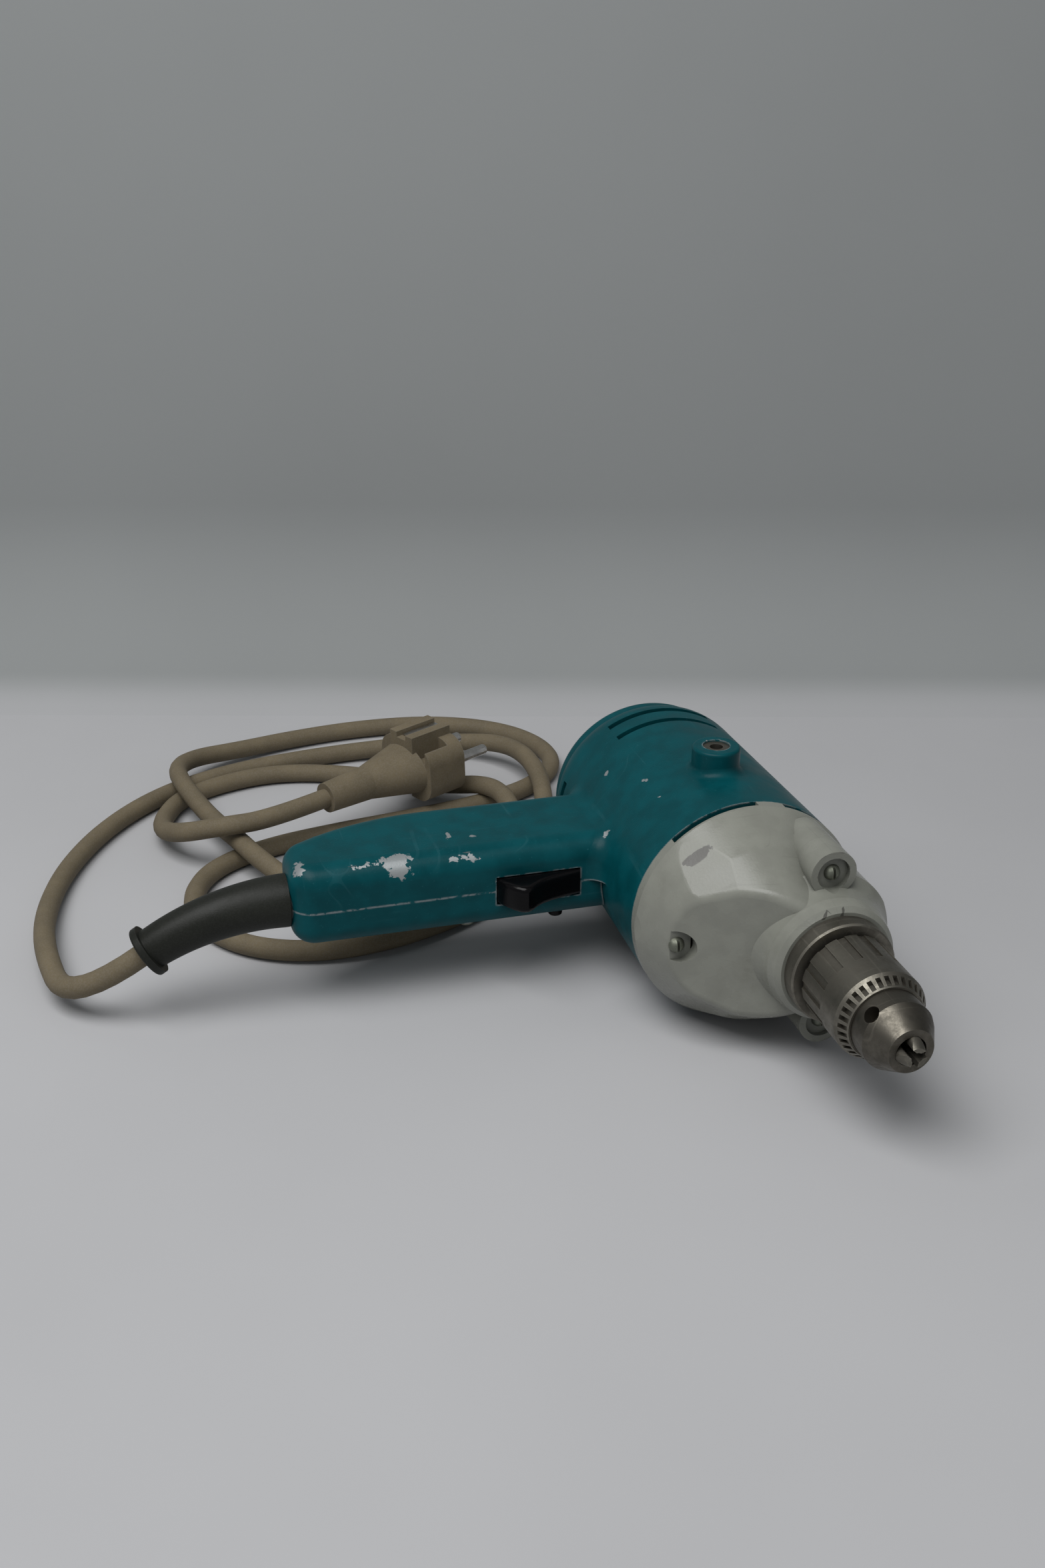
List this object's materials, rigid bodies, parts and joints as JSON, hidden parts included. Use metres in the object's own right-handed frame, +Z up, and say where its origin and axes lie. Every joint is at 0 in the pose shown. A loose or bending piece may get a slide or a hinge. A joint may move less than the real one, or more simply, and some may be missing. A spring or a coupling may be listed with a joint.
{
  "type": "corded pistol-grip drill",
  "caption": "Corded pistol-grip power drill lying on its side, with a keyed chuck, two-stage gear train, trigger with lock button, coiled mains cord and moulded plug.",
  "frame": {"origin": "on the floor, under the centre of the box of the drill without its cord and plug", "axes": "+Z up from the floor towards the drill's right side, -Y towards the chuck along the motor axis, -X towards the butt of the grip"},
  "size_m": [0.2972, 0.406, 0.0935],
  "materials": {
    "teal_paint": "hard enamel, worn at edges",
    "grey_paint": "worn enamel, stained in the corners",
    "black_plastic": "moulded",
    "black_gloss": "moulded, polished by use",
    "bare_steel": "turned and handled",
    "plain_steel": "machined",
    "cast_alloy": "die cast",
    "bronze": "sintered",
    "copper": "enamelled wire",
    "laminations": "stacked sheet",
    "carbon": "pressed carbon",
    "black_rubber": "moulded",
    "grey_rubber": "dull, dusty",
    "lead_insulation": "extruded",
    "plate_metal": "plain sheet"
  },
  "bodies": {
    "casing": {"motor_housing": "teal_paint", "handle_cover": "teal_paint", "gear_housing": "grey_paint", "bearing_plate": "cast_alloy", "rear_cover": "black_plastic", "gear_housing_screws": "bare_steel", "handle_cover_screws": "bare_steel", "rear_cover_screws": "bare_steel", "top_plate": "plate_metal", "top_plate_rivets": "plain_steel", "handle_insert": "bare_steel", "spindle_collar": "bare_steel", "spindle_front_bush": "bronze", "spindle_rear_bush": "bronze", "countershaft_bushes": "bronze", "front_bearing": "plain_steel", "rear_bearing": "plain_steel", "field_core": "laminations", "field_coils": "copper", "brush_holders": "black_plastic", "carbon_brushes": "carbon", "brush_springs": "plain_steel", "trigger_spring": "plain_steel", "switch_body": "black_plastic", "cord_clamp": "black_plastic", "clamp_screws": "bare_steel", "supply_leads": "lead_insulation", "strain_relief": "black_rubber", "mains_cord": "grey_rubber", "plug_body": "grey_rubber", "plug_pins": "plain_steel", "plug_earth_clips": "plain_steel"},
    "armature": {"armature_shaft": "plain_steel", "motor_pinion": "plain_steel", "armature_core": "laminations", "armature_windings": "copper", "commutator": "copper", "cooling_fan": "black_plastic"},
    "countershaft_body": {"countershaft": "plain_steel", "counter_gear": "plain_steel"},
    "spindle_body": {"spindle": "plain_steel", "spindle_gear": "plain_steel", "thrust_washer": "plain_steel", "chuck_body": "bare_steel"},
    "sleeve_body": {"chuck_sleeve": "bare_steel", "jaw_nut": "plain_steel"},
    "jaw_1": {"chuck_jaw_1": "bare_steel"},
    "jaw_2": {"chuck_jaw_2": "bare_steel"},
    "jaw_3": {"chuck_jaw_3": "bare_steel"},
    "trigger_body": {"trigger": "black_gloss"},
    "lock_body": {"lock_button": "black_gloss"}
  },
  "joints": [
    {"name": "armature_spin", "type": "hinge", "parent": "casing", "child": "armature", "pos_m": [0.0585, -0.003, 0.0425], "axis": [0, 1, 0], "continuous": true},
    {"name": "countershaft_spin", "type": "hinge", "parent": "casing", "child": "countershaft_body", "pos_m": [0.06285, -0.003, 0.05904], "axis": [0, 1, 0], "continuous": true},
    {"name": "spindle_spin", "type": "hinge", "parent": "casing", "child": "spindle_body", "pos_m": [0.0741, -0.003, 0.0425], "axis": [0, 1, 0], "continuous": true},
    {"name": "sleeve_turn", "type": "hinge", "parent": "spindle_body", "child": "sleeve_body", "pos_m": [0.0741, -0.083, 0.0425], "axis": [0, 1, 0], "range_deg": [-4128, 1728]},
    {"name": "jaw_1_slide", "type": "slide", "parent": "spindle_body", "child": "jaw_1", "axis": [0.1661, -0.9848, 0.0508], "range_m": [-0.01721, 0.00721]},
    {"name": "jaw_2_slide", "type": "slide", "parent": "spindle_body", "child": "jaw_2", "axis": [-0.127, -0.9848, 0.1184], "range_m": [-0.01721, 0.00721]},
    {"name": "jaw_3_slide", "type": "slide", "parent": "spindle_body", "child": "jaw_3", "axis": [-0.0391, -0.9848, -0.1692], "range_m": [-0.01721, 0.00721]},
    {"name": "trigger_pull", "type": "slide", "parent": "casing", "child": "trigger_body", "axis": [0, 1, 0], "range_m": [0, 0.005], "stiffness_N_per_m": 1500, "springref_m": -0.004, "deforming": ["trigger_spring"]},
    {"name": "lock_press", "type": "slide", "parent": "casing", "child": "lock_body", "axis": [0, 0, 1], "range_m": [0, 0.0035], "stiffness_N_per_m": 600, "springref_m": -0.002}
  ],
  "couplings": [
    {"joint": "countershaft_spin", "follows": "armature_spin", "ratio": -0.26667},
    {"joint": "spindle_spin", "follows": "armature_spin", "ratio": 0.088889},
    {"joint": "jaw_1_slide", "follows": "sleeve_turn", "m_per_rad": 0.00023873},
    {"joint": "jaw_2_slide", "follows": "sleeve_turn", "m_per_rad": 0.00023873},
    {"joint": "jaw_3_slide", "follows": "sleeve_turn", "m_per_rad": 0.00023873}
  ]
}
